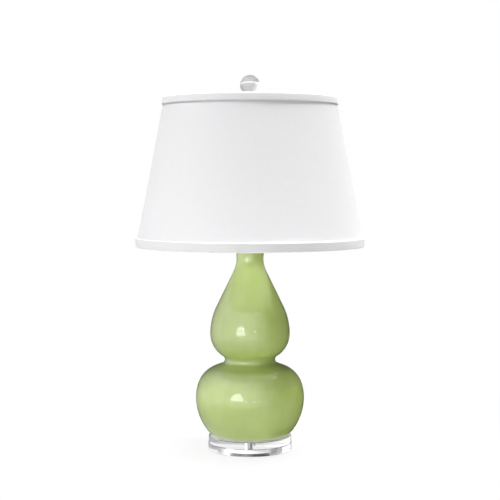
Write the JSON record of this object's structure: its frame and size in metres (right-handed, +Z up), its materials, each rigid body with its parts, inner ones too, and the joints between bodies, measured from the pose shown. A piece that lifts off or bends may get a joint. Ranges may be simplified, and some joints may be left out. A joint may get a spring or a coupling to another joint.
{
  "type": "table lamp",
  "caption": "Table lamp with a glazed double gourd body on a clear round base, a tapered fabric drum shade on a harp, and a clear ball finial.",
  "frame": {"origin": "on the lamp's vertical axis, at the underside of the foot pads", "axes": "+Z up the lamp's axis towards the finial; +Y towards the rear, where the cord outlet is; +X to the right seen from the front"},
  "size_m": [0.4565, 0.4566, 0.7504],
  "materials": {
    "clear_acrylic": "clear, polished",
    "clear_crystal": "clear, polished",
    "clear_rubber": "soft, clear",
    "gasket_rubber": "matte",
    "green_glaze": "glossy glaze, faintly mottled",
    "black_plastic": "moulded",
    "zinc_steel": "zinc plated",
    "nickel": "satin nickel",
    "brass": "polished",
    "insulating_paper": "pressed fibre",
    "porcelain": "unglazed",
    "bulb_glass": "frosted white",
    "shade_fabric": "fine off-white weave",
    "shade_styrene": "white laminate",
    "white_wire": "white enamel"
  },
  "bodies": {
    "stand": {"foot_pads": "clear_rubber", "base_disc_lower": "clear_acrylic", "base_disc_upper": "clear_acrylic", "threaded_pipe": "zinc_steel", "bottom_washer": "zinc_steel", "bottom_nut": "zinc_steel", "foot_gasket": "gasket_rubber", "gourd_body": "green_glaze", "cord_outlet_bushing": "black_plastic", "vase_cap": "nickel", "neck_spacer": "nickel", "harp_saddle": "nickel", "socket_cap": "nickel", "socket_shell": "nickel", "socket_liner": "insulating_paper", "socket_core": "porcelain", "screw_shell": "brass", "centre_contact": "brass", "terminal_screws": "brass"},
    "switch": {"switch_stem": "zinc_steel", "switch_knob": "black_plastic"},
    "bulb": {"bulb_tip": "brass", "bulb_screw_base": "nickel", "bulb_glass": "bulb_glass"},
    "harp": {"harp_wire": "nickel"},
    "sleeve_left": {"harp_sleeve_left": "nickel"},
    "sleeve_right": {"harp_sleeve_right": "nickel"},
    "stud": {"harp_stud": "nickel"},
    "shade": {"shade_cover": "shade_fabric", "shade_liner": "shade_styrene", "shade_top_ring": "white_wire", "shade_bottom_ring": "white_wire", "shade_spider": "nickel", "top_trim": "shade_fabric", "bottom_trim": "shade_fabric"},
    "finial": {"finial_seat": "nickel", "finial_ball": "clear_crystal"}
  },
  "joints": [
    {"name": "switch_turn", "type": "hinge", "parent": "stand", "child": "switch", "pos_m": [0, -0.02, 0.4488], "axis": [0, -1, 0], "continuous": true},
    {"name": "bulb_unscrew", "type": "slide", "parent": "stand", "child": "bulb", "axis": [0, 0, 1], "range_m": [0, 0.03]},
    {"name": "harp_lift", "type": "slide", "parent": "stand", "child": "harp", "axis": [0, 0, 1], "range_m": [0, 0.03]},
    {"name": "sleeve_left_slide", "type": "slide", "parent": "harp", "child": "sleeve_left", "axis": [0, 0, 1], "range_m": [0, 0.012]},
    {"name": "sleeve_right_slide", "type": "slide", "parent": "harp", "child": "sleeve_right", "axis": [0, 0, 1], "range_m": [0, 0.012]},
    {"name": "shade_turn", "type": "hinge", "parent": "harp", "child": "stud", "pos_m": [0, 0, 0.687], "axis": [0, 0, 1], "continuous": true},
    {"name": "shade_lift", "type": "slide", "parent": "stud", "child": "shade", "axis": [0, 0, 1], "range_m": [0, 0.3]},
    {"name": "finial_unscrew", "type": "slide", "parent": "shade", "child": "finial", "axis": [0, 0, 1], "range_m": [0, 0.03]}
  ]
}
